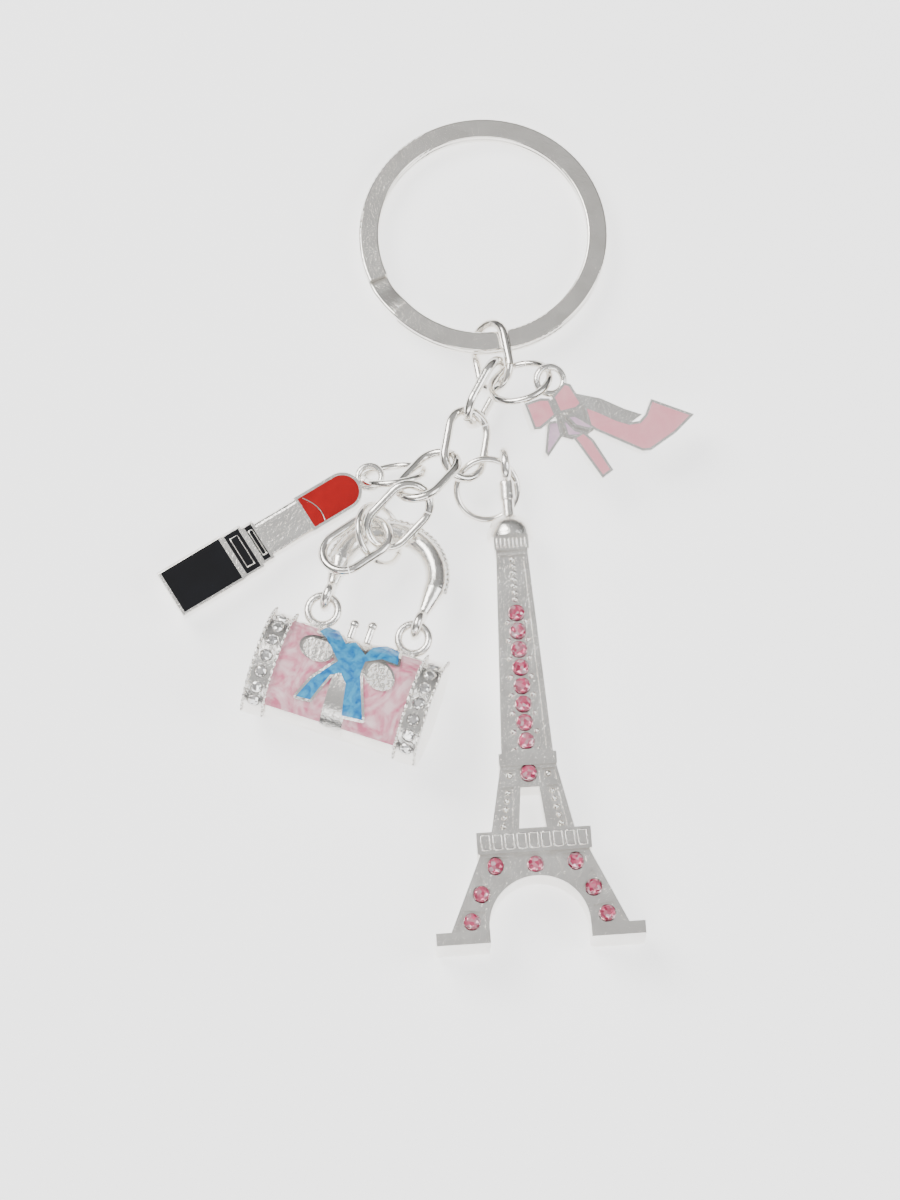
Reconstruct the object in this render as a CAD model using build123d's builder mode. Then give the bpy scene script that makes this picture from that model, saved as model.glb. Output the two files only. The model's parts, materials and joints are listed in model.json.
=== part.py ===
from build123d import *
import math
import os

os.makedirs("parts", exist_ok=True)

# A charm keychain lying on a table: a split ring, a six-link chain, four jump rings and
# four charms (tower, lipstick, handbag, shoe). Millimetres, +Z up, origin at the centre
# of the split ring, +Y towards the ring's far side, the chain trailing towards -Y.

# ------------------------------------------------------------------ split ring sizes
ring_od = 30.0
band_width = 2.4
coil_thick = 0.85
coil_gap = 0.1
band_edge = 0.25
coil_end_angle = 204.0
joggle_angle = 18.0

# ------------------------------------------------------------------ chain and jump rings
link_length = 9.6
link_width = 6.3
link_wire = 1.12
jump_od = 8.15
jump_wire = 0.86
wire_gap = 0.12
seam_gap = 0.12
link_slack = 1.75

# ------------------------------------------------------------------ tower sizes
tower_top = 47.5
foot_depth = 6.6
shaft_depth = 2.6
foot_half = 12.2
foot_height = 1.5
leg_half = 11.1
waist_half = 6.7
waist_low = 10.6
waist_high = 13.2
deck_half = 3.4
deck_low = 21.1
deck_high = 22.6
shaft_half = 1.86
arch_radius = 5.9
arch_centre = 1.9
deck_proud = 0.55
cell_depth = 0.45
stone_dia = 2.05
stone_clear = 0.03
seat_depth = 0.4
stone_proud = 0.75
collar_half = 2.05
collar_height = 1.7
dome_radius = 2.75
dome_height = 3.0
stem_radius = 0.75
tower_eye_od = 4.7
tower_eye_wire = 1.2

# ------------------------------------------------------------------ lipstick sizes
case_length = 8.7
band_1_length = 2.65
band_2_length = 1.6
tube_length = 5.65
bullet_length = 7.75
case_width = 6.2
band_1_width = 6.0
band_2_width = 5.35
tube_width = 4.7
lipstick_depth = 2.2
enamel_rim = 0.35
enamel_depth = 0.4
lipstick_eye_od = 3.6
lipstick_eye_wire = 0.8

# ------------------------------------------------------------------ handbag sizes
bag_width = 21.6
bag_height = 12.1
bag_depth = 9.0
end_band = 2.7
end_band_proud = 0.3
bag_enamel = 0.35
loop_od = 4.6
loop_wire = 1.0
loop_spread = 5.66
handle_bend = 5.9
handle_wire = 2.7
handle_eye_od = 3.8
handle_eye_wire = 1.1
clear_stone_dia = 1.5
clear_stone_proud = 0.3
clear_stone_sunk = 0.45
loop_high = 8.2
handle_reach = 4.9
bag_turn = 12.0
bow_rim = 0.3
bow_proud = 0.35
cup_length = 4.4
cup_width = 3.3
strap_width = 2.7

# ------------------------------------------------------------------ shoe sizes
shoe_depth = 2.1
shoe_rim = 0.3
shoe_enamel = 0.4
bow_depth = 2.7
shoe_eye_od = 4.1
shoe_eye_wire = 0.85


def save(piece, name):
    """Label a finished piece and write it under its node name."""
    piece.label = name
    export_step(piece, "parts/" + name + ".step")


# ================================================================== how pieces lie
def lie(heading, pitch, roll):
    """Directions along and across a flat piece, from its heading, pitch and roll."""
    along = Vector(1, 0, 0).rotate(Axis.Y, -pitch).rotate(Axis.Z, heading)
    across = Vector(0, 1, 0).rotate(Axis.Z, heading)
    across = across.rotate(Axis((0, 0, 0), tuple(along)), roll)
    return along, across


class Loop:
    """A closed wire: straight sides and round ends, or a circle if it has no sides."""

    def __init__(self, length, width, wire):
        self.wire = wire
        self.bend = (width - wire) / 2
        self.side = (length - width) / 2

    def spot(self, run, far=True):
        """Centre line point and direction, a run of wire away from the crown at one end."""
        quarter = math.pi * self.bend / 2
        reach = abs(run)
        if reach <= quarter:
            turn = reach / self.bend
            point = (self.side + self.bend * math.cos(turn), self.bend * math.sin(turn))
            way = (-math.sin(turn), math.cos(turn))
        elif reach <= quarter + 2 * self.side:
            point = (self.side - (reach - quarter), self.bend)
            way = (-1.0, 0.0)
        else:
            turn = math.pi / 2 + (reach - quarter - 2 * self.side) / self.bend
            point = (-self.side + self.bend * math.cos(turn), self.bend * math.sin(turn))
            way = (-math.sin(turn), math.cos(turn))
        hand = 1 if run >= 0 else -1
        end = 1 if far else -1
        return (end * point[0], hand * point[1]), (hand * end * way[0], way[1])


link_loop = Loop(link_length, link_width, link_wire)
jump_loop = Loop(jump_od, jump_od, jump_wire)


def to_world(plane, flat):
    """A direction drawn in a piece's own plane, in the frame of the whole."""
    return plane.x_dir * flat[0] + plane.y_dir * flat[1]


def inward(flat_point, flat_way):
    """The direction square to the wire that points into the loop."""
    square = (-flat_way[1], flat_way[0])
    out = square[0] * flat_point[0] + square[1] * flat_point[1] > 0
    return (-square[0], -square[1]) if out else square


def hook(host, host_plane, seat, guest, own_seat, heading, pitch, roll):
    """Plane of a loop hung on another so that the wires pass with wire_gap between them."""
    along, across = lie(heading, pitch, roll)
    up = along.cross(across)
    host_point, host_way = host.spot(seat)
    touch = host_plane.from_local_coords((host_point[0], host_point[1], 0))
    host_dir = to_world(host_plane, host_way)
    own_point, own_way = guest.spot(own_seat, far=False)
    own_dir = along * own_way[0] + across * own_way[1]
    apart = host_dir.cross(own_dir).normalized()
    host_in = to_world(host_plane, inward(host_point, host_way))
    own_flat_in = inward(own_point, own_way)
    own_in = along * own_flat_in[0] + across * own_flat_in[1]
    if apart.dot(host_in - own_in) < 0:
        apart = apart * -1
    step = (host.wire + guest.wire) / 2 + wire_gap
    centre = touch + apart * step - along * own_point[0] - across * own_point[1]
    return Plane(origin=centre, x_dir=along, z_dir=up)


# ================================================================== split ring
# Spring steel strip wound flat on itself: the upper coil ends at coil_end_angle, runs
# clockwise almost once round, steps down under its own end and carries on as the lower
# coil. The ring leans on the first chain link, which is under it at the near side.
ring_thick = 2 * coil_thick + coil_gap
ring_radius = ring_od / 2
band_radius = ring_radius - band_width / 2
lift = link_wire + 2 * wire_gap
ring_tilt = math.degrees(math.asin(lift / (ring_radius + band_radius)))
ring_plane = Plane(Location((0, 0, 0), (-ring_tilt, 0, 0)))
coil_height = (coil_thick + coil_gap) / 2


def strip_plane(angle, height):
    """Plane across the strip at an angle round the ring."""
    turn = math.radians(angle)
    spot = ring_plane.from_local_coords(
        (band_radius * math.cos(turn), band_radius * math.sin(turn), height)
    )
    radial = ring_plane.x_dir * math.cos(turn) + ring_plane.y_dir * math.sin(turn)
    onward = ring_plane.y_dir * math.cos(turn) - ring_plane.x_dir * math.sin(turn)
    return Plane(origin=spot, x_dir=radial, z_dir=onward)


with BuildPart() as split_ring:
    ring_axis = Axis((0, 0, 0), tuple(ring_plane.z_dir))
    joggle_start = coil_end_angle + 2 + joggle_angle
    with BuildSketch(strip_plane(joggle_start, coil_height)):
        RectangleRounded(band_width, coil_thick, band_edge)
    revolve(axis=ring_axis, revolution_arc=358 - joggle_angle)
    with BuildSketch(strip_plane(joggle_start + 2, -coil_height)):
        RectangleRounded(band_width, coil_thick, band_edge)
    revolve(axis=ring_axis, revolution_arc=358 - joggle_angle)
    steps = 6
    for step in range(steps + 1):
        part_way = step / steps
        ease = part_way * part_way * (3 - 2 * part_way)
        height = -coil_height + 2 * coil_height * ease
        with BuildSketch(strip_plane(coil_end_angle + 2 + joggle_angle * part_way, height)):
            RectangleRounded(band_width, coil_thick, band_edge)
    loft()

save(split_ring.part, "split_ring")


# ================================================================== chain and jump rings
# Oval links and round jump rings bent from nickel-plated wire, each closed on a butt seam.
def wire_loop(loop, plane, seam):
    """One closed wire with its seam a run of wire away from the far crown."""
    side = loop.side
    bend = loop.bend
    with BuildPart() as piece:
        with BuildLine(plane) as route:
            if side > 0:
                Line((-side, bend), (side, bend))
            ThreePointArc((side, bend), (side + bend, 0), (side, -bend))
            if side > 0:
                Line((side, -bend), (-side, -bend))
            ThreePointArc((-side, -bend), (-side - bend, 0), (-side, bend))
        start = plane.from_local_coords((-side, bend, 0))
        with BuildSketch(Plane(origin=start, x_dir=plane.y_dir, z_dir=plane.x_dir)):
            Circle(loop.wire / 2)
        sweep(path=route.line)
        point, way = loop.spot(seam)
        middle = plane.from_local_coords((point[0], point[1], 0))
        cut = Plane(origin=middle, x_dir=to_world(plane, way), z_dir=plane.z_dir)
        with Locations(cut.location):
            Box(seam_gap, 2 * loop.wire, 2 * loop.wire, mode=Mode.SUBTRACT)
    return piece.part


# The first link goes round the ring's strip: it rolls until one side clears the top coil
# and the other the bottom coil, and its upper crown stands off inside the ring.
first_angle = -87.0
first_heading = -79.5
first_pitch = 8.0
first_clear = ring_thick / 2 + link_wire / 2 + 3 * wire_gap
first_roll = math.degrees(math.asin(first_clear / link_loop.bend))
first_along, first_across = lie(first_heading, first_pitch, first_roll)
first_turn = math.radians(first_angle)
first_spot = ring_plane.from_local_coords(
    (band_radius * math.cos(first_turn), band_radius * math.sin(first_turn), 0)
)
link_planes = [
    Plane(
        origin=first_spot + first_along * link_slack,
        x_dir=first_along,
        z_dir=first_along.cross(first_across),
    )
]

# How links 2 to 6 lie: seat on the link before, own seat, heading, pitch and roll.
chain_lie = [
    (4.3, -0.8, -117.5, 3.5, -73.5),
    (1.7, 1.55, -99.5, 4.0, -28.5),
    (-4.15, 0.3, -128.5, 19.5, 32.5),
    (-0.95, -3.35, -135.5, -13.5, -26.0),
    (1.55, 2.55, -144.5, 5.0, 14.5),
]
for lying in chain_lie:
    seat, own_seat, heading, pitch, roll = lying
    link_planes.append(
        hook(link_loop, link_planes[-1], seat, link_loop, own_seat, heading, pitch, roll)
    )

# Jump rings: the link each hangs on, its seat there, own seat, heading, pitch and roll.
jump_lie = {
    "shoe": (0, 1.0, 2.25, 8.0, 13.5, -38.0),
    "tower": (2, 4.2, 1.05, -61.5, -21.5, 10.0),
    "lipstick": (3, -2.0, 1.95, -210.5, -45.5, 41.0),
    "handbag": (5, 6.25, -10.45, -100.5, 17.0, -46.0),
}
jump_planes = {}
for charm, lying in jump_lie.items():
    link, seat, own_seat, heading, pitch, roll = lying
    jump_planes[charm] = hook(
        link_loop, link_planes[link], seat, jump_loop, own_seat, heading, pitch, roll
    )

link_seams = (3.4, -0.9, 9.0, 10.6, 8.5, 3.0)
for number, plane in enumerate(link_planes, start=1):
    save(wire_loop(link_loop, plane, link_seams[number - 1]), f"chain_link_{number}")
for charm, plane in jump_planes.items():
    save(wire_loop(jump_loop, plane, 5.0), f"jump_ring_{charm}")


# ================================================================== how charms hang
# Each charm's eye on its jump ring: seat, own seat, heading, pitch and roll.
charm_lie = {
    "shoe": (-2.05, -1.5, 0.5, -7.0, 7.0),
    "tower": (5.7, -5.5, -86.0, 0.0, 89.5),
    "lipstick": (1.9, 1.6, 32.0, 0.0, 2.0),
    "handbag": (7.5, -0.6, -109.5, 12.0, 3.0),
}
handle_od = 2 * handle_bend + handle_wire
charm_loops = {
    "shoe": Loop(shoe_eye_od, shoe_eye_od, shoe_eye_wire),
    "tower": Loop(tower_eye_od, tower_eye_od, tower_eye_wire),
    "lipstick": Loop(lipstick_eye_od, lipstick_eye_od, lipstick_eye_wire),
    "handbag": Loop(handle_od, handle_od, handle_wire),
}
eye_planes = {}
for charm, lying in charm_lie.items():
    seat, own_seat, heading, pitch, roll = lying
    eye_planes[charm] = hook(
        jump_loop, jump_planes[charm], seat, charm_loops[charm], own_seat, heading, pitch, roll
    )


def shifted(plane, x, y, z=0.0):
    """A plane with its origin moved by lengths along its own axes."""
    spot = plane.from_local_coords((x, y, z))
    return Plane(origin=spot, x_dir=plane.x_dir, z_dir=plane.z_dir)


def outline_face(corners):
    """One flat face inside a closed outline, facing up, to be added to a sketch."""
    face = Face(Wire.make_polygon([Vector(*corner) for corner in corners]))
    return face if face.normal_at().Z > 0 else -face


def fill_of(outlines, rim, top, depth):
    """Enamel poured in a flat recess: outlines less their metal rim, down from a face."""
    with BuildPart() as fill:
        with BuildSketch(Plane.XY.offset(top - depth)):
            for corners in outlines:
                add(outline_face(corners))
            offset(amount=-rim)
        extrude(amount=depth)
    return fill.part


def cut_stone(seat, diameter, depth, proud):
    """One stone: a round girdle sunk in its seat and a bevelled crown standing proud."""
    with BuildPart() as stone:
        with BuildSketch(seat):
            Circle(diameter / 2)
        extrude(amount=depth)
        with BuildSketch(seat.offset(depth)):
            Circle(diameter / 2)
        extrude(amount=proud, taper=40)
    return stone.part


def save_at(plane, piece, name):
    """Write a piece modelled in its own frame where that frame lies in the whole."""
    save(plane.location * piece, name)


# ================================================================== tower
# One zinc casting, nickel plated, flat in plan and thicker at the feet, with recessed
# cells on the front and a round seat for each stone. Its own frame: x across, y up the
# tower from the soles, z towards the front from the middle of its thickness.
leg_depth = foot_depth - 2 * deck_proud
collar_high = tower_top + collar_height
dome_high = collar_high + dome_height
face_tilt = math.degrees(math.atan((leg_depth - shaft_depth) / 2 / tower_top))
tower_face = Plane(Location((0, 0, leg_depth / 2), (-face_tilt, 0, 0)))
waist_leg_half = waist_half - 1.8
shaft_foot_half = deck_half - 0.35
opening_low = waist_high + 0.35
opening_high = deck_low - 2.65
tower_eye_high = dome_high + 6.1


def mirrored(points):
    """The same points on the other side of the tower's centre line."""
    return [(-x, y) for x, y in points]


def face_depth(height):
    """Half the casting's thickness at a height above the soles."""
    return leg_depth / 2 - height * (leg_depth - shaft_depth) / 2 / tower_top


shaft_pitch = stone_dia + 0.195
side_stones = [(4.7, 9.3), (6.55, 6.05), (7.9, 2.85)]
stone_places = [(0.0, deck_high + 1.6 + shaft_pitch * k) for k in reversed(range(8))]
stone_places += [(0.0, deck_low - 0.85), (0.0, 9.25)]
for x, y in side_stones:
    stone_places += [(-x, y), (x, y)]

over_arch = arch_centre + arch_radius + 0.55
tower_cells = [
    [(3.2, waist_low - 0.35), (5.8, waist_low - 0.35), (6.05, 9.2), (4.75, 7.0)],
    [(6.5, 8.1), (8.15, 5.1), (5.95, 4.75), (5.3, 6.0)],
    [(8.7, 4.15), (6.3, 3.85), (6.35, foot_height + 0.2), (9.9, foot_height + 0.2)],
    [(3.0, deck_low - 0.4), (1.6, deck_low - 0.4), (1.6, 19.3), (3.25, 19.3)],
    [(3.2, 18.6), (1.95, 18.6), (2.3, opening_low), (4.1, opening_low)],
]

with BuildPart() as tower:
    with BuildSketch(Plane.XY):
        tower_side = [
            (leg_half, 0),
            (waist_half - 0.3, waist_low),
            (waist_leg_half, waist_high),
            (deck_half - 0.1, deck_low),
            (shaft_foot_half, deck_high),
            (shaft_half, tower_top),
        ]
        add(outline_face(tower_side + mirrored(reversed(tower_side))))
    extrude(amount=leg_depth / 2, both=True)
    with BuildSketch(Plane.YZ):
        tower_back = [
            (0, leg_depth / 2),
            (tower_top, shaft_depth / 2),
            (tower_top, -shaft_depth / 2),
            (0, -leg_depth / 2),
        ]
        add(outline_face(tower_back))
    extrude(amount=foot_half, both=True, mode=Mode.INTERSECT)
    collar_depth = shaft_depth + 2 * deck_proud
    platforms = [
        (foot_half, 0, foot_height, foot_depth),
        (waist_half, waist_low, waist_high, 2 * (face_depth(waist_low) + deck_proud)),
        (deck_half, deck_low, deck_high, 2 * (face_depth(deck_low) + deck_proud / 2)),
        (collar_half, tower_top, collar_high, collar_depth),
    ]
    for half, low, high, depth in platforms:
        with Locations((0, (low + high) / 2, 0)):
            Box(2 * half, high - low, depth)
    with BuildSketch(Plane.XY):
        with Locations((0, arch_centre)):
            Circle(arch_radius)
        with Locations((0, arch_centre - foot_depth)):
            Rectangle(2 * arch_radius, 2 * foot_depth)
        opening_side = [(1.6, opening_low), (1.1, opening_high)]
        add(outline_face(opening_side + mirrored(reversed(opening_side))))
    extrude(amount=foot_depth, both=True, mode=Mode.SUBTRACT)
    with BuildSketch(Plane.XY):
        shoulder = collar_high + 0.5
        with BuildLine():
            Polyline((0, dome_high), (0, collar_high), (dome_radius, collar_high), (dome_radius, shoulder))
            ThreePointArc(
                (dome_radius, shoulder), (0.74 * dome_radius, dome_high - 0.8), (0, dome_high)
            )
        make_face()
    revolve(axis=Axis.Y)
    eye_low = tower_eye_high - tower_eye_od / 2
    stem = [
        (stem_radius, dome_high - 0.5, eye_low + 0.5),
        (1.3 * stem_radius, dome_high + 1.9, eye_low + 0.35),
    ]
    for radius, low, high in stem:
        with Locations(Location((0, (low + high) / 2, 0), (90, 0, 0))):
            Cylinder(radius, high - low)
    with Locations(Location((0, tower_eye_high, 0), (0, 90, 0))):
        Torus((tower_eye_od - tower_eye_wire) / 2, tower_eye_wire / 2)
    with BuildSketch(tower_face):
        shaft_cell = [(shaft_foot_half - 0.7, deck_high + 0.5), (shaft_half - 0.5, tower_top - 0.5)]
        middle_cell = [(1.3, 18.95), (1.3, deck_low - 0.3)]
        for half_cell in (shaft_cell, middle_cell):
            add(outline_face(half_cell + mirrored(reversed(half_cell))))
        with BuildLine():
            Polyline((-3.4, 7.7), (-2.45, waist_low - 0.2), (2.45, waist_low - 0.2), (3.4, 7.7))
            ThreePointArc((3.4, 7.7), (0, over_arch), (-3.4, 7.7))
        make_face()
        for cell in tower_cells:
            add(outline_face(cell))
            add(outline_face(mirrored(cell)))
    extrude(amount=-cell_depth, mode=Mode.SUBTRACT)
    stone_seats = []
    for x, y in stone_places:
        stone_seats.append(shifted(tower_face, x, y, -cell_depth - seat_depth))
    for seat in stone_seats:
        with BuildSketch(seat):
            Circle(stone_dia / 2 + stone_clear)
        extrude(amount=seat_depth + cell_depth, mode=Mode.SUBTRACT)

tower_eye = eye_planes["tower"]
tower_axes = Plane(origin=tower_eye.origin, x_dir=-tower_eye.z_dir, z_dir=tower_eye.y_dir)
tower_plane = shifted(tower_axes, 0, -tower_eye_high)
save_at(tower_plane, tower.part, "tower_body")
for number, seat in enumerate(stone_seats, start=1):
    stone = cut_stone(seat, stone_dia, seat_depth, stone_proud)
    save_at(tower_plane, stone, f"tower_stone_{number:02d}")


# ================================================================== lipstick
# One casting with a flat back: a case, two collars, a half-round tube, the bullet and an
# eye at its tip. Case, collars and bullet each hold a fill of enamel inside a metal rim.
# Its own frame: x along it to the eye, z to the front from the middle of its thickness.
lipstick_steps = {
    "case_enamel": (case_length, case_width, lipstick_depth, 0.3),
    "wide_collar_enamel": (band_1_length, band_1_width, lipstick_depth - 0.1, 0.25),
    "narrow_collar_enamel": (band_2_length, band_2_width, lipstick_depth - 0.2, 0.25),
    "tube": (tube_length, tube_width, lipstick_depth - 0.2, 0.7),
}
lipstick_front = lipstick_depth / 2
bullet_depth = lipstick_depth - 0.1
lipstick_fills = {}
with BuildPart() as lipstick:
    reach = 0.0
    for name, (length, width, depth, edge) in lipstick_steps.items():
        low = depth / 2 - lipstick_front
        with BuildSketch(Plane.YZ.offset(reach)):
            with Locations((0, low)):
                RectangleRounded(width, depth, edge)
        extrude(amount=length)
        if name != "tube":
            half = width / 2
            corners = [
                (reach, -half),
                (reach + length, -half),
                (reach + length, half),
                (reach, half),
            ]
            top = depth - lipstick_front
            lipstick_fills[name] = fill_of([corners], enamel_rim, top, enamel_depth)
        reach += length
    with BuildSketch(Plane.XY.offset(-lipstick_front)) as bullet_outline:
        tip = reach + bullet_length
        half = tube_width / 2
        with BuildLine():
            Polyline((tip - half, half), (reach, half), (reach, -half), (tip - half, -half))
            ThreePointArc((tip - half, -half), (tip, 0), (tip - half, half))
        make_face()
    extrude(amount=bullet_depth)
    lipstick_eye_x = tip + lipstick_eye_od / 2 - 0.3
    with Locations((lipstick_eye_x, 0, 0)):
        Torus((lipstick_eye_od - lipstick_eye_wire) / 2, lipstick_eye_wire / 2)
    with BuildPart(mode=Mode.PRIVATE) as bullet_fill:
        with BuildSketch(Plane.XY.offset(bullet_depth - lipstick_front - enamel_depth)):
            add(bullet_outline.sketch.moved(Location((0, 0, lipstick_front))))
            offset(amount=-enamel_rim)
        extrude(amount=enamel_depth)
    lipstick_fills["bullet_enamel"] = bullet_fill.part
    for fill in lipstick_fills.values():
        add(fill, mode=Mode.SUBTRACT)

lipstick_plane = shifted(eye_planes["lipstick"], -lipstick_eye_x, 0)
save_at(lipstick_plane, lipstick.part, "lipstick_body")
for name, fill in lipstick_fills.items():
    save_at(lipstick_plane, fill, "lipstick_" + name)


# ================================================================== shoe
# A flat casting of a court shoe with a bow at the back, held by the eye above the bow.
# Its own frame: origin at the eye, x towards the toe, z to the front.
shoe_top = shoe_depth / 2
bow_top = bow_depth - shoe_top
shoe_cells = {
    "vamp_enamel": [
        (3.8, -3.0),
        (5.8, -3.7),
        (7.9, -4.6),
        (9.4, -5.0),
        (10.6, -4.8),
        (11.3, -4.0),
        (12.0, -2.1),
        (17.2, -3.8),
        (15.0, -6.1),
        (12.0, -8.3),
        (11.0, -8.4),
        (5.35, -6.1),
        (4.6, -5.6),
    ],
    "heel_enamel": [(3.9, -6.2), (5.1, -7.2), (7.5, -10.8), (6.2, -11.8), (3.3, -7.9), (2.6, -7.0)],
    "drape_enamel": [(1.2, -4.8), (1.7, -4.8), (3.0, -6.0), (4.3, -6.3), (3.4, -6.9), (1.9, -7.0)],
    "left_tail_enamel": [(-0.4, -5.2), (0.9, -5.0), (1.4, -6.8), (-0.3, -9.4), (-0.7, -8.9)],
    "right_tail_enamel": [(1.6, -4.4), (2.9, -4.2), (5.4, -5.6), (4.6, -6.1), (2.9, -5.7)],
}
bow_cells = {
    "left_bow_enamel": [(-3.3, -3.2), (-1.4, -2.5), (-0.3, -2.5), (0.6, -4.5), (-1.3, -6.2), (-2.1, -6.3)],
    "right_bow_enamel": [(0.0, -2.3), (1.4, -0.5), (2.2, -0.7), (3.7, -3.0), (3.0, -3.7), (0.9, -4.3)],
}
shoe_lining = [(3.0, -1.6), (6.0, -2.1), (8.9, -3.3), (11.0, -3.9), (9.4, -5.1), (3.8, -4.0), (2.5, -3.0)]
shoe_web = [(0.2, -3.6), (3.6, -3.3), (5.3, -5.9), (4.2, -6.7), (2.6, -7.2), (1.4, -6.9), (0.8, -5.0)]
shoe_fills = {}
with BuildPart() as shoe:
    with BuildSketch(Plane.XY.offset(-shoe_top)):
        for corners in shoe_cells.values():
            add(outline_face(corners))
    extrude(amount=shoe_depth)
    with BuildSketch(Plane.XY.offset(-shoe_top)):
        add(outline_face(shoe_lining))
        add(outline_face(shoe_web))
    extrude(amount=shoe_depth - shoe_enamel - 0.1)
    with BuildSketch(Plane.XY.offset(-shoe_top)):
        for corners in bow_cells.values():
            add(outline_face(corners))
        with Locations((0.35, -3.5)):
            Circle(0.95)
    extrude(amount=bow_depth)
    Torus((shoe_eye_od - shoe_eye_wire) / 2, shoe_eye_wire / 2)
    for name, corners in shoe_cells.items():
        shoe_fills[name] = fill_of([corners], shoe_rim, shoe_top, shoe_enamel)
    for name, corners in bow_cells.items():
        shoe_fills[name] = fill_of([corners], shoe_rim, bow_top, shoe_enamel)
    for fill in shoe_fills.values():
        add(fill, mode=Mode.SUBTRACT)

shoe_plane = eye_planes["shoe"]
save_at(shoe_plane, shoe.part, "shoe_body")
for name, fill in shoe_fills.items():
    save_at(shoe_plane, fill, "shoe_" + name)


# ================================================================== handbag handle
# A cast arch, thick at the top and tapering to a small eye at each foot; the eyes close
# through the two loops on the bag. Its own frame: origin at the centre of the arch, x
# along the bag, y away from it. The eyes are centred on the hinge line of the bag.
loop_bend = (loop_od - loop_wire) / 2
handle_eye_bend = (handle_eye_od - handle_eye_wire) / 2
with BuildPart() as handle:
    Torus(handle_bend, handle_wire / 2)
    with Locations((0, -handle_bend, 0)):
        Box(4 * handle_bend, 2 * handle_bend, 2 * handle_wire, mode=Mode.SUBTRACT)
    for side in (-1, 1):
        eye_top = -handle_reach + handle_eye_bend
        with BuildSketch(Plane.XZ):
            with Locations((side * handle_bend, 0)):
                Circle(handle_wire / 2)
        with BuildSketch(Plane.XZ.offset(-eye_top)):
            with Locations((side * loop_spread, 0)):
                Circle(handle_eye_wire / 2 + 0.1)
        loft()
        with Locations(Location((side * loop_spread, -handle_reach, 0), (0, 90, 0))):
            Torus(handle_eye_bend, handle_eye_wire / 2)

handle_axes = eye_planes["handbag"]
handle_plane = Plane(
    origin=handle_axes.origin, x_dir=handle_axes.y_dir, z_dir=handle_axes.z_dir
)
save_at(handle_plane, handle.part, "handbag_handle")


# ================================================================== handbag
# A barrel-shaped casting on its back: oval in section, a proud band at each end set with
# clear stones, two loops and a clasp on top, a pink panel with a strap and a blue bow on
# the front. Its own frame: origin in the middle of the barrel, x along it, y up to the
# loops, z to the front.
barrel_high = bag_height / 2
barrel_deep = bag_depth / 2
panel_half = bag_width / 2 - end_band
bow_corners = [
    (-4.7, 4.9),
    (-4.1, 6.2),
    (-2.9, 6.2),
    (-1.2, 4.3),
    (-0.2, 5.0),
    (1.5, 3.6),
    (1.9, 5.0),
    (3.3, 6.0),
    (5.0, 5.6),
    (5.5, 3.7),
    (3.5, 3.8),
    (1.8, 2.8),
    (1.8, 1.1),
    (3.7, -3.9),
    (1.2, -4.1),
    (0.6, -0.6),
    (-0.4, 0.5),
    (-1.5, -0.1),
    (-2.9, -3.5),
    (-4.6, -3.6),
    (-3.4, -1.1),
    (-1.2, 1.8),
    (-3.6, 4.3),
]
cup_places = [(-4.1, 2.6, -10.0), (3.9, 1.7, -35.0)]


def barrel(grow, half):
    """Solid oval barrel, grown outwards by an amount, half as long each way."""
    with BuildPart() as solid:
        with BuildSketch(Plane.YZ):
            Ellipse(barrel_high + grow, barrel_deep + grow)
        extrude(amount=half, both=True)
    return solid.part


with BuildPart() as bow_frame:
    with BuildSketch(Plane.XY):
        add(outline_face(bow_corners))
        offset(amount=bow_rim)
        for x, y, turn in cup_places:
            with Locations(Location((x, y, 0), (0, 0, turn))):
                Ellipse(cup_length / 2, cup_width / 2)
        with Locations((0.15, -barrel_high / 2)):
            Rectangle(strap_width, barrel_high)
    extrude(amount=2 * barrel_deep)

with BuildPart() as pink_panel:
    add(barrel(0, panel_half))
    add(barrel(-bag_enamel, bag_width), mode=Mode.SUBTRACT)
    with Locations((0, 0.1, barrel_deep)):
        Box(2 * panel_half, 10.8, 2 * barrel_deep, mode=Mode.INTERSECT)
    add(bow_frame.part, mode=Mode.SUBTRACT)

pink_sides = sorted(pink_panel.part.solids(), key=lambda solid: solid.volume)[-2:]
pink_sides.sort(key=lambda solid: solid.center().X)

with BuildPart() as bow_raised:
    add(bow_frame.part)
    add(barrel(bow_proud, panel_half), mode=Mode.INTERSECT)
    with Locations((0, 0, barrel_deep)):
        Box(bag_width, 2 * bag_height, 1.6 * barrel_deep, mode=Mode.INTERSECT)

with BuildPart() as bow_fill:
    with BuildSketch(Plane.XY):
        add(outline_face(bow_corners))
    extrude(amount=2 * barrel_deep)
    add(barrel(bow_proud, panel_half), mode=Mode.INTERSECT)
    add(barrel(bow_proud - bag_enamel, bag_width), mode=Mode.SUBTRACT)
    with Locations((0, 0, barrel_deep)):
        Box(bag_width, 2 * bag_height, 1.6 * barrel_deep, mode=Mode.INTERSECT)

band_high = barrel_high + end_band_proud
band_deep = barrel_deep + end_band_proud
clear_seats = []
for side in (-1, 1):
    for k in range(7):
        turn = math.radians(-57 + 18.5 * k)
        across = side * (bag_width - end_band) / 2
        spot = (across, band_high * math.sin(turn), band_deep * math.cos(turn))
        out = Vector(0, math.sin(turn) / band_high, math.cos(turn) / band_deep).normalized()
        surface = Plane(origin=spot, x_dir=(1, 0, 0), z_dir=tuple(out))
        clear_seats.append(surface.offset(-clear_stone_sunk))

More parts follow.
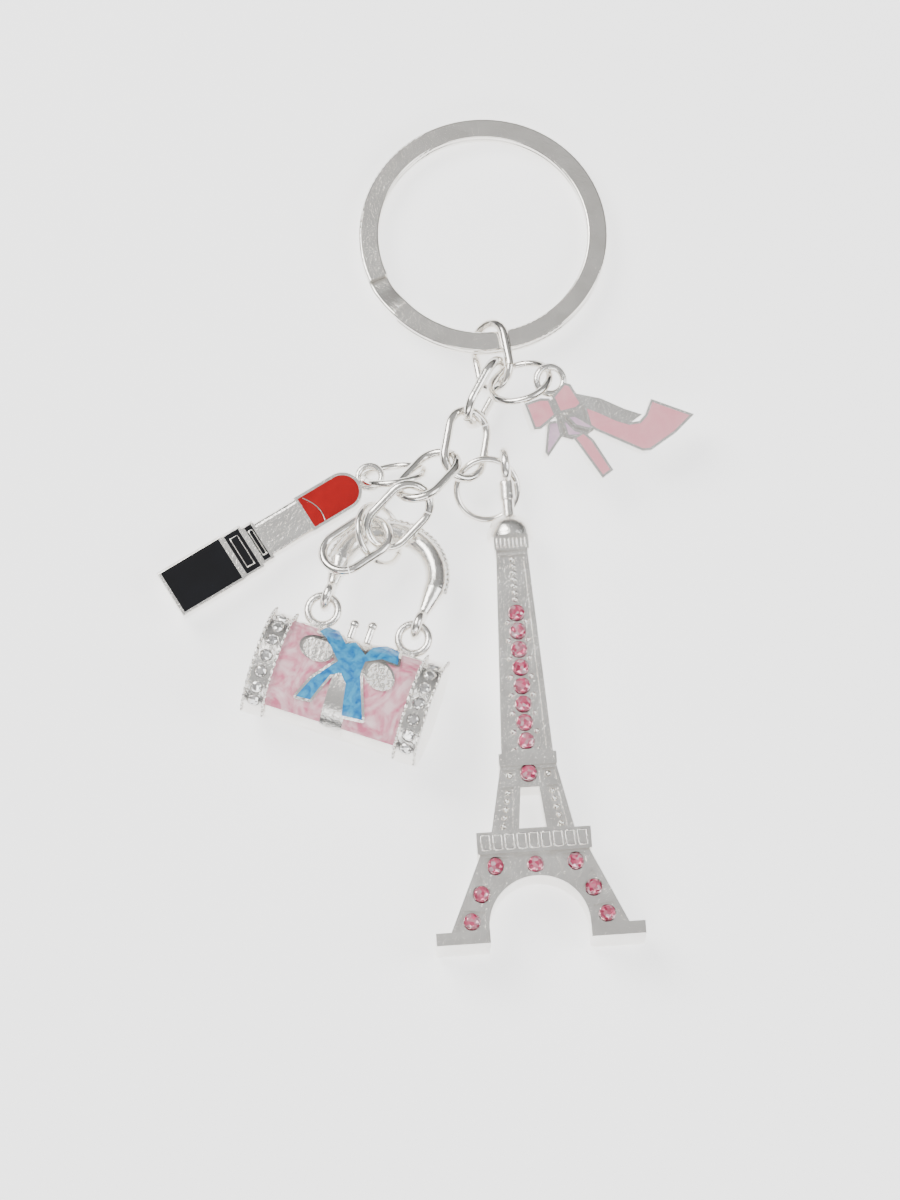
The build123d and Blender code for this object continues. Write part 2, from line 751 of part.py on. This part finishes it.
with BuildPart() as bag:
    add(barrel(0, bag_width / 2))
    for side in (-1, 1):
        with BuildSketch(Plane.YZ.offset(side * (bag_width - end_band) / 2)):
            Ellipse(band_high, band_deep)
        extrude(amount=end_band / 2, both=True)
        with Locations((side * loop_spread, loop_high, 0)):
            Torus(loop_bend, loop_wire / 2)
        with Locations((side * loop_spread, barrel_high - 0.1, 0)):
            Box(1.8, 0.8, loop_wire)
    for x, high in ((-1.5, 7.7), (0.6, 8.1)):
        with Locations(Location((x, (high + barrel_high) / 2 - 0.4, 0), (90, 0, 0))):
            Cylinder(0.5, high - barrel_high + 0.8)
        with Locations((x, high, 0)):
            Sphere(0.65)
    for pink_side in pink_sides:
        add(pink_side, mode=Mode.SUBTRACT)
    add(bow_raised.part)
    for x, y, turn in cup_places:
        with BuildSketch(Plane(Location((x, y, barrel_deep - 0.6), (0, 0, turn)))):
            Ellipse(cup_length / 2 - bow_rim, cup_width / 2 - bow_rim)
        extrude(amount=2, mode=Mode.SUBTRACT)
    add(bow_fill.part, mode=Mode.SUBTRACT)
    for seat in clear_seats:
        with BuildSketch(seat):
            Circle(clear_stone_dia / 2 + stone_clear)
        extrude(amount=2, mode=Mode.SUBTRACT)

hinge_plane = Plane(handle_plane.location * Location((0, -handle_reach, 0), (bag_turn, 0, 0)))
bag_plane = shifted(hinge_plane, 0, -(loop_high + loop_bend))
save_at(bag_plane, bag.part, "handbag_body")
for hand, pink_side in zip(("left", "right"), pink_sides):
    save_at(bag_plane, pink_side, f"handbag_pink_enamel_{hand}")
save_at(bag_plane, bow_fill.part, "handbag_bow_enamel")
for number, seat in enumerate(clear_seats, start=1):
    stone = cut_stone(seat, clear_stone_dia, clear_stone_sunk, clear_stone_proud)
    save_at(bag_plane, stone, f"handbag_stone_{number:02d}")
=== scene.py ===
import json
import math
import bmesh
import bpy
from mathutils import Matrix, Vector


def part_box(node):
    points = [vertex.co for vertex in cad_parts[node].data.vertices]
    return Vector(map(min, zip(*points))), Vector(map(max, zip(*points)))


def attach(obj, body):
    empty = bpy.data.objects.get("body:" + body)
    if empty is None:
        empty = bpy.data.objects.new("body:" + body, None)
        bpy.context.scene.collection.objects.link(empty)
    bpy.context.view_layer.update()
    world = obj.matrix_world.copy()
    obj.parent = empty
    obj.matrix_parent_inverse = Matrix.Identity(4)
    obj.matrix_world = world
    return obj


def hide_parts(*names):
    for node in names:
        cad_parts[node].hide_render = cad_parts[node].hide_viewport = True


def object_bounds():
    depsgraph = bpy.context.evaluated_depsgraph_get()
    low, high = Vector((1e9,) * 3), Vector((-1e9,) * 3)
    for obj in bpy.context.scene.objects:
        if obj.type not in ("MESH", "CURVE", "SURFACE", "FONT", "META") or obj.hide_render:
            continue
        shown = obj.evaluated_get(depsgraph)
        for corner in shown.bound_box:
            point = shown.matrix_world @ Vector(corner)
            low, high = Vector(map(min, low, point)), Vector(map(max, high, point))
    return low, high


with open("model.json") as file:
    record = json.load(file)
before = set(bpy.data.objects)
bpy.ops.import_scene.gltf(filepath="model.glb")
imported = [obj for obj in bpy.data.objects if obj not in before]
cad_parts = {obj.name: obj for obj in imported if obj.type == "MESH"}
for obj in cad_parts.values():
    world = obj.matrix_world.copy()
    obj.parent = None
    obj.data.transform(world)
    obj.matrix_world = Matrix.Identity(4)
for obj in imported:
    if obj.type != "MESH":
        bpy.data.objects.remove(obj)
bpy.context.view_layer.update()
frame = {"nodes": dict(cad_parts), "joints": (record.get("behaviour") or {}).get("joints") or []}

# ---------------------------------------------------------------- nickel plate
# Every metal part is zinc or steel under bright nickel: warm silver with a faint
# orange-peel surface, a little duller where it has been handled.


class Signal:
    """A value socket that can be used in sums; each sum becomes a Math node."""

    def __init__(self, graph, socket):
        self.graph = graph
        self.socket = socket

    def join(self, operation, first, with_painted_glint):
        node = self.graph.node("ShaderNodeMath", {"operation": operation}, {0: first, 1: with_painted_glint})
        return Signal(self.graph, node.outputs[0])

    def __add__(self, other):
        return self.join("ADD", self, other)

    def __radd__(self, other):
        return self.join("ADD", other, self)

    def __sub__(self, other):
        return self.join("SUBTRACT", self, other)

    def __rsub__(self, other):
        return self.join("SUBTRACT", other, self)

    def __mul__(self, other):
        return self.join("MULTIPLY", self, other)

    def __rmul__(self, other):
        return self.join("MULTIPLY", other, self)

    def __pow__(self, other):
        return self.join("POWER", self, other)


class Graph:
    """A node tree under construction."""

    def __init__(self, tree):
        self.tree = tree

    def node(self, kind, settings=None, inputs=None):
        node = self.tree.nodes.new(kind)
        for key, value in (settings or {}).items():
            setattr(node, key, value)
        for key, value in (inputs or {}).items():
            socket = node.inputs[key]
            if isinstance(value, Signal):
                self.tree.links.new(value.socket, socket)
            elif isinstance(value, bpy.types.NodeSocket):
                self.tree.links.new(value, socket)
            else:
                socket.default_value = value
        return node

    def signal(self, node, output=0):
        return Signal(self, node.outputs[output])


def new_material(name):
    """An empty material, its graph, its shader and the position on the piece in mm."""
    material = bpy.data.materials.new(name)
    material.use_nodes = True
    graph = Graph(material.node_tree)
    shader = material.node_tree.nodes["Principled BSDF"]
    where = graph.node("ShaderNodeTexCoord")
    in_mm = {"Vector": where.outputs["Object"], "Scale": (1000, 1000, 1000)}
    place = graph.node("ShaderNodeMapping", {}, in_mm)
    return material, graph, shader, place.outputs[0]


def noise(graph, place, scale, detail=3.0, distortion=0.0):
    """Cloudy noise from 0 to 1 at a scale in cycles per millimetre."""
    node = graph.node(
        "ShaderNodeTexNoise",
        {},
        {"Vector": place, "Scale": scale, "Detail": detail, "Distortion": distortion},
    )
    return graph.signal(node)


def blend_colors(graph, factor, low, high):
    """A colour between two, by a factor."""
    node = graph.node("ShaderNodeMix", {"data_type": "RGBA"}, {0: factor, 6: low, 7: high})
    return node.outputs[2]


def relief(graph, shader, height, distance, strength):
    """Fine relief on a surface."""
    bump = graph.node("ShaderNodeBump", {}, {"Height": height, "Distance": distance, "Strength": strength})
    graph.tree.links.new(bump.outputs[0], shader.inputs["Normal"])


def plate(name, light, dark, gloss, grain):
    """Bright plated metal with slight handling marks."""
    material, graph, shader, place = new_material(name)
    cloud = noise(graph, place, 0.35, 4.0)
    marks = noise(graph, place, 2.6, 6.0, 0.6)
    tint = graph.signal(graph.node("ShaderNodeMapRange", {}, {0: cloud, 1: 0.35, 2: 0.65}))
    graph.tree.links.new(blend_colors(graph, tint, dark, light), shader.inputs["Base Color"])
    rough = gloss + 0.1 * cloud + 0.12 * (marks - 0.5)
    graph.tree.links.new(rough.socket, shader.inputs["Roughness"])
    shader.inputs["Metallic"].default_value = 1.0
    relief(graph, shader, cloud * 0.6 + marks * 0.4, 0.00012 * grain, 0.5)
    return material


nickel = plate("bright_nickel", (0.93, 0.9, 0.85, 1), (0.85, 0.82, 0.77, 1), 0.1, 0.7)
cast_nickel = plate("cast_nickel", (0.94, 0.92, 0.88, 1), (0.84, 0.81, 0.77, 1), 0.16, 1.6)


def paint(material, *nodes):
    """Gives CAD nodes a material in place of the plain one they came with."""
    for node in nodes:
        mesh = frame["nodes"][node].data
        mesh.materials.clear()
        mesh.materials.append(material)


# ---------------------------------------------------------------- split ring, chain and jump rings
# Spring steel strip wound twice round, and links and rings bent from round wire, all
# rolled smooth before plating. They show as they were modelled.

names = list(frame["nodes"])
paint(nickel, "split_ring")
for node in names:
    if node.startswith(("chain_link_", "jump_ring_")):
        paint(nickel, node)

# ---------------------------------------------------------------- enamels
# Soft enamel floated into the recesses and polished: even colour on the shoe and
# lipstick, two tones swirled together on the handbag's panel and bow.


def enamel(name, light, dark, scale, swirl, contrast, gloss=0.06):
    """Glossy enamel whose two tones run into each other."""
    material, graph, shader, place = new_material(name)
    drift = noise(graph, place, scale, 2.0, swirl)
    cloud = noise(graph, place, scale * 3.1, 4.0, swirl * 0.5)
    mixed = drift * 0.75 + cloud * 0.25
    edge = graph.signal(
        graph.node("ShaderNodeMapRange", {}, {0: mixed, 1: 0.5 - 0.5 * contrast, 2: 0.5 + 0.5 * contrast})
    )
    graph.tree.links.new(blend_colors(graph, edge, dark, light), shader.inputs["Base Color"])
    fine = noise(graph, place, 1.4, 2.0)
    graph.tree.links.new((gloss + 0.06 * fine).socket, shader.inputs["Roughness"])
    shader.inputs["Coat Weight"].default_value = 0.25
    shader.inputs["Coat Roughness"].default_value = 0.04
    shader.inputs["Specular IOR Level"].default_value = 0.35
    relief(graph, shader, noise(graph, place, 0.45, 1.0), 0.0004, 0.45)
    return material


pink = enamel("pink_enamel", (0.86, 0.42, 0.46, 1), (0.8, 0.3, 0.36, 1), 0.35, 1.2, 0.5)
marbled = enamel("marbled_pink_enamel", (0.9, 0.62, 0.66, 1), (0.7, 0.2, 0.3, 1), 0.2, 4.0, 0.25)
lilac = enamel("lilac_enamel", (0.78, 0.58, 0.68, 1), (0.6, 0.38, 0.56, 1), 0.5, 1.5, 0.5, 0.1)
red = enamel("red_enamel", (0.42, 0.001, 0.002, 1), (0.26, 0.0005, 0.001, 1), 0.25, 0.8, 0.6)
black = enamel("black_enamel", (0.002, 0.0025, 0.005, 1), (0.0005, 0.0005, 0.001, 1), 0.3, 0.5, 0.6)
blue = enamel("blue_enamel", (0.06, 0.42, 0.7, 1), (0.004, 0.13, 0.42, 1), 0.5, 2.2, 0.35)
paint(red, "lipstick_bullet_enamel")
paint(black, "lipstick_case_enamel", "lipstick_wide_collar_enamel", "lipstick_narrow_collar_enamel")
paint(blue, "handbag_bow_enamel")
paint(marbled, "handbag_pink_enamel_left", "handbag_pink_enamel_right")
paint(pink, "shoe_vamp_enamel", "shoe_heel_enamel", "shoe_left_bow_enamel", "shoe_right_bow_enamel")
paint(lilac, "shoe_drape_enamel", "shoe_left_tail_enamel", "shoe_right_tail_enamel")
paint(cast_nickel, "lipstick_body", "shoe_body", "tower_body", "handbag_body", "handbag_handle")

# ---------------------------------------------------------------- stones
# Glass stones with foil behind them: a flat table, eight crown facets and eight girdle
# facets. Rose with a green and violet sheen on the tower, clear on the handbag.


def stone_look(name, painted_reflection_tones, metal):
    """Foiled glass with painted reflections: colour changes from facet to facet, dark, bright and a pale
    painted glint.
    """
    material, graph, shader, place = new_material(name)
    cells = graph.node("ShaderNodeTexVoronoi", {"feature": "F1"}, {"Vector": place, "Scale": 2.4})
    split = graph.node("ShaderNodeSeparateColor", {}, {0: cells.outputs["Color"]})
    # Painted reflection: patches mix the stone's bright and dark tones, then a pale tone as a painted glint.
    first = blend_colors(graph, graph.signal(split, 0), painted_reflection_tones[0], painted_reflection_tones[1])
    with_painted_glint = blend_colors(graph, graph.signal(split, 1) ** 2.5, first, painted_reflection_tones[2])
    graph.tree.links.new(with_painted_glint, shader.inputs["Base Color"])
    sparkle = graph.signal(split, 2)
    graph.tree.links.new((0.03 + 0.1 * sparkle).socket, shader.inputs["Roughness"])
    shader.inputs["Metallic"].default_value = metal
    shader.inputs["Coat Weight"].default_value = 1.0
    shader.inputs["Coat Roughness"].default_value = 0.02
    relief(graph, shader, noise(graph, place, 1.1, 1.0), 0.0003, 0.3)
    return material


rose = stone_look("rose_stone", ((0.8, 0.12, 0.24, 1), (0.36, 0.02, 0.07, 1), (0.7, 0.5, 0.55, 1)), 0.35)
clear = stone_look("clear_stone", ((0.93, 0.92, 0.9, 1), (0.6, 0.58, 0.56, 1), (1.0, 1.0, 1.0, 1)), 0.75)


def center(node):
    """Middle of a CAD node's box."""
    low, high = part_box(node)
    return (Vector(low) + Vector(high)) / 2


def axes(origin, across, along):
    """Matrix of a flat frame from its origin and two rough directions."""
    x = across.normalized()
    y = (along - x * along.dot(x)).normalized()
    z = x.cross(y)
    return Matrix.Translation(origin) @ Matrix((x, y, z)).transposed().to_4x4()


def gem(name, radius, depth, material):
    """One stone, its girdle centred on the origin and its table towards +Z."""
    mesh = bpy.data.meshes.new(name)
    made = bmesh.new()
    rings = []
    levels = ((0.55, -0.7, 0.0), (1.0, -0.28, 0.5), (1.0, 0.06, 0.0), (0.88, 0.42, 0.5), (0.56, 0.72, 0.0))
    for share, height, twist in levels:
        ring = []
        for k in range(8):
            turn = 2 * math.pi * (k + twist) / 8
            across = radius * share
            spot = (across * math.cos(turn), across * math.sin(turn), depth * height)
            ring.append(made.verts.new(spot))
        rings.append(ring)
    made.faces.new(list(reversed(rings[0])))
    made.faces.new(rings[-1])
    for number in range(len(levels) - 1):
        low, high = rings[number], rings[number + 1]
        ahead = 1 if levels[number][2] < levels[number + 1][2] else 0
        for k in range(8):
            after = (k + 1) % 8
            if ahead:
                made.faces.new((low[k], low[after], high[k]))
                made.faces.new((low[after], high[after], high[k]))
            else:
                made.faces.new((low[k], high[after], high[k]))
                made.faces.new((low[k], low[after], high[after]))
    bmesh.ops.recalc_face_normals(made, faces=made.faces)
    made.to_mesh(mesh)
    made.free()
    mesh.materials.append(material)
    return mesh


def scatter(name, prototype, places, material):
    """One mesh with a copy of a prototype at every place, made by an instancing tree."""
    seeds = bpy.data.meshes.new(name + "_seeds")
    seeds.from_pydata([tuple(place.translation) for place in places], [], [])
    turns = seeds.attributes.new("turn", "FLOAT_VECTOR", "POINT")
    sizes = seeds.attributes.new("size", "FLOAT_VECTOR", "POINT")
    for number, place in enumerate(places):
        turns.data[number].vector = place.to_euler()
        sizes.data[number].vector = place.to_scale()
    pattern = bpy.data.objects.new(name + "_pattern", prototype)
    tree = bpy.data.node_groups.new(name + "_copies", "GeometryNodeTree")
    tree.interface.new_socket("Seeds", in_out="INPUT", socket_type="NodeSocketGeometry")
    shape = tree.interface.new_socket("Shape", in_out="INPUT", socket_type="NodeSocketObject")
    finish = tree.interface.new_socket("Finish", in_out="INPUT", socket_type="NodeSocketMaterial")
    tree.interface.new_socket("Copies", in_out="OUTPUT", socket_type="NodeSocketGeometry")
    graph = Graph(tree)
    given = graph.node("NodeGroupInput").outputs
    info = graph.node("GeometryNodeObjectInfo", {}, {"Object": given["Shape"]})
    turn = graph.node("GeometryNodeInputNamedAttribute", {"data_type": "FLOAT_VECTOR"}, {"Name": "turn"})
    size = graph.node("GeometryNodeInputNamedAttribute", {"data_type": "FLOAT_VECTOR"}, {"Name": "size"})
    spin = graph.node("FunctionNodeEulerToRotation", {}, {0: turn.outputs["Attribute"]})
    copies = graph.node(
        "GeometryNodeInstanceOnPoints",
        {},
        {
            "Points": given["Seeds"],
            "Instance": info.outputs["Geometry"],
            "Rotation": spin.outputs[0],
            "Scale": size.outputs["Attribute"],
        },
    )
    solid = graph.node("GeometryNodeRealizeInstances", {}, {"Geometry": copies.outputs[0]})
    coated = graph.node(
        "GeometryNodeSetMaterial", {}, {"Geometry": solid.outputs[0], "Material": given["Finish"]}
    )
    graph.node("NodeGroupOutput", {}, {0: coated.outputs[0]})
    carrier = bpy.data.objects.new(name, seeds)
    bpy.context.scene.collection.objects.link(carrier)
    modifier = carrier.modifiers.new("copies", "NODES")
    modifier.node_group = tree
    modifier[shape.identifier] = pattern
    modifier[finish.identifier] = material
    bpy.context.view_layer.update()
    seen = bpy.context.evaluated_depsgraph_get()
    plain = bpy.data.meshes.new_from_object(carrier.evaluated_get(seen))
    carrier.modifiers.clear()
    carrier.data = plain
    bpy.data.meshes.remove(seeds)
    bpy.data.objects.remove(pattern)
    return carrier


def at(base, x, y, z, size=(1, 1, 1), turn=0.0):
    """Place on a flat frame, in mm, with a size and a turn about its normal."""
    spot = Matrix.Translation((x / 1000, y / 1000, z / 1000))
    return base @ spot @ Matrix.Rotation(turn, 4, "Z") @ Matrix.Diagonal((*size, 1))


tower_names = [f"tower_stone_{k:02d}" for k in range(1, 17)]
shaft_top, shaft_low = center(tower_names[0]), center(tower_names[7])
tower_base = axes(shaft_low, center(tower_names[11]) - center(tower_names[10]), shaft_top - shaft_low)
tower_stone_low = 24.2
tower_gem = gem("rose_gem", 0.00098, 0.00062, rose)
tower_spots = []
for k, node in enumerate(tower_names):
    local = tower_base.inverted() @ center(node)
    tower_spots.append(at(tower_base, local.x * 1000, local.y * 1000, local.z * 1000 + 0.12, turn=0.4 * k))
tower_gems = scatter("tower_gems", tower_gem, tower_spots, rose)
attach(tower_gems, "tower")
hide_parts(*tower_names)

bag_names = [f"handbag_stone_{k:02d}" for k in range(1, 15)]
bag_middle = (center(bag_names[3]) + center(bag_names[10])) / 2
bag_base = axes(
    bag_middle, center(bag_names[10]) - center(bag_names[3]), center(bag_names[13]) - center(bag_names[7])
)
bag_center = bag_base @ Matrix.Translation((0, 0.0001, -0.0045))
bag_gem = gem("clear_gem", 0.00074, 0.0005, clear)
bag_spots = []
for k, node in enumerate(bag_names):
    local = bag_center.inverted() @ center(node)
    slope = math.atan2(local.y * (4.8 / 6.35) ** 2, local.z)
    lean = bag_center @ Matrix.Translation(local) @ Matrix.Rotation(-slope, 4, "X")
    bag_spots.append(lean @ Matrix.Translation((0, 0, 0.00012)) @ Matrix.Rotation(0.5 * k, 4, "Z"))
bag_gems = scatter("handbag_gems", bag_gem, bag_spots, clear)
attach(bag_gems, "bag")
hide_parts(*bag_names)

# ---------------------------------------------------------------- tower trim
# Cast beading: pairs of pearls between the shaft stones, columns down the side panels,
# a ribbed collar under the dome, and nine window frames on the waist platform.


def pearl(name, material, squash=0.8):
    """A low round bead, its middle on the origin."""
    mesh = bpy.data.meshes.new(name)
    made = bmesh.new()
    bmesh.ops.create_icosphere(made, subdivisions=2, radius=0.001)
    for vert in made.verts:
        vert.co.z *= squash
    for face in made.faces:
        face.smooth = True
    made.to_mesh(mesh)
    made.free()
    mesh.materials.append(material)
    return mesh


def block(name, width, length, height, edge, material):
    """A bar with rounded edges centred on the origin, sizes in mm."""
    mesh = bpy.data.meshes.new(name)
    made = bmesh.new()
    bmesh.ops.create_cube(made, size=0.001)
    for vert in made.verts:
        vert.co.x *= width
        vert.co.y *= length
        vert.co.z *= height
    bmesh.ops.bevel(
        made, geom=list(made.edges), offset=edge / 1000, segments=3, profile=0.5, affect="EDGES"
    )
    for face in made.faces:
        face.smooth = True
    made.to_mesh(mesh)
    made.free()
    mesh.materials.append(material)
    return mesh


floor_of_cell = 0.275 - 0.45
pearl_shape = pearl("cast_pearl", cast_nickel)
pearl_spots = []
for k in range(8):
    high = tower_stone_low + 2.245 * k - 1.12
    side = 1.42 - 0.045 * k
    for hand in (-1, 1):
        pearl_spots.append(
            at(tower_base, hand * side, high - tower_stone_low, floor_of_cell + 0.1, (0.33, 0.33, 0.4))
        )
for k in range(7):
    pearl_spots.append(
        at(tower_base, 0, 41.6 + 0.82 * k - tower_stone_low, floor_of_cell + 0.05, (0.36, 0.36, 0.35))
    )
for hand in (-1, 1):
    pearl_spots.append(
        at(tower_base, hand * 2.25, 20.1 - tower_stone_low, floor_of_cell + 0.1, (0.42, 0.42, 0.45))
    )
    for k in range(5):
        across, high = 2.6 + 0.2 * k, 18.0 - 1.0 * k
        pearl_spots.append(
            at(tower_base, hand * across, high - tower_stone_low, floor_of_cell + 0.1, (0.36, 0.36, 0.42))
        )
    for k in range(3):
        pearl_spots.append(
            at(tower_base, hand * (1.0 + 1.05 * k), 21.9 - tower_stone_low, 0.33, (0.3, 0.3, 0.35))
        )
tower_pearls = scatter("tower_pearls", pearl_shape, pearl_spots, cast_nickel)
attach(tower_pearls, "tower")

rib_shape = block("collar_rib", 0.26, 1.25, 0.34, 0.1, cast_nickel)
rib_spots = []
for k in range(8):
    for level in (0.82, -2.9):
        rib_spots.append(at(tower_base, -1.68 + 0.48 * k, 48.35 - tower_stone_low, level))
for k in range(9):
    for hand in (-1, 1):
        middle = -5.68 + 1.42 * k
        rib_spots.append(at(tower_base, middle + 0.5 * hand, 11.95 - tower_stone_low, 0.78, (0.85, 1.5, 1.0)))
        rib_spots.append(
            at(tower_base, middle, 11.95 + 0.88 * hand - tower_stone_low, 0.78, (0.85, 0.7, 1.0), math.pi / 2)
        )
tower_ribs = scatter("tower_ribs", rib_shape, rib_spots, cast_nickel)
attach(tower_ribs, "tower")

# ---------------------------------------------------------------- handbag trim
# A row of pearls along the outside of the handle and a rope edge inside each end band.

swing = next(joint for joint in frame["joints"] if joint["name"] == "bag_swing")
foot = Vector(swing["pos_m"])
handle_base = axes(foot, Vector(swing["axis"]), center("handbag_handle") - foot)
handle_arch = handle_base @ Matrix.Translation((0, 0.0049, 0))
handle_spots = []
for k in range(33):
    turn = math.radians(2 + 176 * k / 32)
    reach = 7.14
    handle_spots.append(
        at(handle_arch, reach * math.cos(turn), reach * math.sin(turn), 0, (0.42, 0.42, 0.5), turn)
    )
handle_pearls = scatter("handle_pearls", pearl_shape, handle_spots, cast_nickel)
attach(handle_pearls, "bag_handle")

edge_spots = []
for hand in (-1, 1):
    for across in (8.15, 10.72):
        for k in range(19):
            turn = math.radians(-80 + 160 * k / 18)
            spot = at(
                bag_center, hand * across, 6.34 * math.sin(turn), 4.79 * math.cos(turn), (0.2, 0.55, 0.22)
            )
            slope = math.atan2(math.sin(turn) / 6.34, math.cos(turn) / 4.79)
            edge_spots.append(spot @ Matrix.Rotation(-slope, 4, "X"))
bag_edges = scatter("handbag_edges", pearl_shape, edge_spots, cast_nickel)
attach(bag_edges, "bag")

# ---------------------------------------------------------------- lipstick trim
# Raised wire outlines cast on the black collars and a slanted facet line on the bullet.


def outline_bar(name, base, corners, thick, material, body):
    """A raised rounded line through corners given in mm on a flat frame."""
    line = bpy.data.curves.new(name, "CURVE")
    line.dimensions = "3D"
    line.bevel_depth = thick / 1000
    line.bevel_resolution = 4
    line.use_fill_caps = True
    for run in corners:
        points = run[:-1] if run[0] == run[-1] else run
        spline = line.splines.new("POLY")
        spline.points.add(len(points) - 1)
        spline.use_cyclic_u = run[0] == run[-1]
        for point, (x, y, z) in zip(spline.points, points):
            place = base @ Vector((x / 1000, y / 1000, z / 1000))
            point.co = (*place, 1)
    carrier = bpy.data.objects.new(name + "_line", line)
    bpy.context.scene.collection.objects.link(carrier)
    seen = bpy.context.evaluated_depsgraph_get()
    mesh = bpy.data.meshes.new_from_object(carrier.evaluated_get(seen))
    bpy.data.objects.remove(carrier)
    mesh.name = name
    mesh.materials.clear()
    mesh.materials.append(material)
    for face in mesh.polygons:
        face.use_smooth = True
    piece = bpy.data.objects.new(name, mesh)
    bpy.context.scene.collection.objects.link(piece)
    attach(piece, body)
    return piece


case_middle, bullet_middle = center("lipstick_case_enamel"), center("lipstick_bullet_enamel")
along = bullet_middle - case_middle
lipstick_base = axes(case_middle, along, Vector((0, 0, 1)).cross(along))
collar_lines = []
collars = (("lipstick_wide_collar_enamel", 0.5, 2.0), ("lipstick_narrow_collar_enamel", 0.25, 1.7))
for node, half_long, half_wide in collars:
    spot = lipstick_base.inverted() @ center(node)
    x, y, z = spot.x * 1000, spot.y * 1000, spot.z * 1000 + 0.18
    run = []
    for k in range(24):
        turn = 2 * math.pi * k / 24
        bow = max(-1.0, min(1.0, 1.6 * math.sin(turn)))
        run.append((x + half_long * max(-1.0, min(1.0, 1.5 * math.cos(turn))), y + half_wide * bow, z))
    run.append(run[0])
    collar_lines.append(run)
outline_bar("lipstick_collar_lines", lipstick_base, collar_lines, 0.1, nickel, "lipstick")
spot = lipstick_base.inverted() @ bullet_middle
facet = []
for k in range(13):
    share = k / 12
    facet.append(
        (
            spot.x * 1000 - 3.3 + 1.9 * math.sin(math.pi * (0.15 + 0.5 * share)),
            spot.y * 1000 + 1.9 - 3.8 * share,
            spot.z * 1000 + 0.2,
        )
    )
outline_bar("lipstick_facet_line", lipstick_base, [facet], 0.09, nickel, "lipstick")

# ---------------------------------------------------------------- table and studio
# A pale sweep of card under soft boxes, with two dark flags so the plate has
# something to reflect.

low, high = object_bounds()
ground = bpy.data.meshes.new("table_card")
made = bmesh.new()
for x, y in ((-1, -1), (1, -1), (1, 1), (-1, 1)):
    made.verts.new((0.9 * x, 0.9 * y - 0.04, low[2] - 0.0001))
made.faces.new(made.verts)
bmesh.ops.subdivide_edges(made, edges=list(made.edges), cuts=12, use_grid_fill=True)
made.to_mesh(ground)
made.free()
card, graph, shader, place = new_material("pale_card")
tone = noise(graph, place, 0.02, 3.0)
graph.tree.links.new(
    blend_colors(graph, tone, (0.93, 0.93, 0.93, 1), (0.96, 0.96, 0.96, 1)), shader.inputs["Base Color"]
)
shader.inputs["Roughness"].default_value = 0.75
shader.inputs["Emission Color"].default_value = (1.0, 1.0, 1.0, 1)
shader.inputs["Emission Strength"].default_value = 1.5
ground.materials.append(card)
table = bpy.data.objects.new("table_card", ground)
bpy.context.scene.collection.objects.link(table)


def soft_box(name, place, aim, size, power, tint=(1, 1, 1)):
    """A square area light aimed at a point."""
    light = bpy.data.lights.new(name, "AREA")
    light.shape = "RECTANGLE"
    light.size, light.size_y = size
    light.energy = power
    light.color = tint
    lamp = bpy.data.objects.new(name, light)
    lamp.location = place
    lamp.rotation_euler = (Vector(aim) - Vector(place)).to_track_quat("-Z", "Y").to_euler()
    bpy.context.scene.collection.objects.link(lamp)


middle = (0.0, -0.04, 0.0)
soft_box("key_box", (-0.3, 0.2, 0.45), middle, (0.35, 0.35), 3.6, (1.0, 0.985, 0.96))
soft_box("fill_box", (0.42, -0.1, 0.35), middle, (0.3, 0.4), 1.8, (0.96, 0.98, 1.0))
soft_box("front_box", (0.0, -0.45, 0.3), middle, (0.5, 0.15), 1.3)
flag_shade, graph, shader, place = new_material("dark_flag")
graph.tree.links.new(
    blend_colors(graph, noise(graph, place, 0.01), (0.03, 0.03, 0.035, 1), (0.05, 0.05, 0.055, 1)),
    shader.inputs["Base Color"],
)
for name, place_at, size, tilt in (
    ("flag_left", (-0.5, -0.12, 0.22), (0.05, 0.5), 60),
    ("flag_top", (0.1, 0.3, 0.5), (0.4, 0.04), -35),
):
    sheet = bpy.data.meshes.new(name)
    half_x, half_y = size[0] / 2, size[1] / 2
    turn = Matrix.Translation(place_at) @ Matrix.Rotation(math.radians(tilt), 4, "Y")
    corners = [turn @ Vector((x * half_x, y * half_y, 0)) for x, y in ((-1, -1), (1, -1), (1, 1), (-1, 1))]
    sheet.from_pydata(corners, [], [(0, 1, 2, 3)])
    sheet.materials.append(flag_shade)
    flag = bpy.data.objects.new(name, sheet)
    bpy.context.scene.collection.objects.link(flag)

world = bpy.data.worlds.new("studio")
world.use_nodes = True
sky = Graph(world.node_tree)
aim = sky.node("ShaderNodeTexCoord")
parts = sky.node("ShaderNodeSeparateXYZ", {}, {0: aim.outputs["Generated"]})
rise = sky.signal(sky.node("ShaderNodeMapRange", {}, {0: parts.outputs[2], 1: 0.1, 2: 0.95}))
shade = blend_colors(sky, rise, (0.05, 0.05, 0.05, 1), (0.9, 0.9, 0.9, 1))
backdrop = world.node_tree.nodes["Background"]
world.node_tree.links.new(shade, backdrop.inputs["Color"])
backdrop.inputs["Strength"].default_value = 0.75
bpy.context.scene.world = world

lens = bpy.data.cameras.new("camera")
camera = bpy.data.objects.new("camera", lens)
bpy.context.scene.collection.objects.link(camera)
raised = math.radians(75)
right = Vector((1, 0, 0))
upward = Vector((0, math.sin(raised), math.cos(raised)))
ahead = Vector((0, math.cos(raised), -math.sin(raised)))
camera.location = -(right * 0.00399 + upward * 0.04395 + ahead * 0.6771)
facing = Matrix((right, upward, -ahead)).transposed().to_4x4()
camera.matrix_world = Matrix.Translation(camera.location) @ facing
lens.sensor_fit = "VERTICAL"
lens.angle = 2 * math.atan(600 / 5600)
lens.clip_start = 0.01
lens.clip_end = 10.0
bpy.context.scene.camera = camera
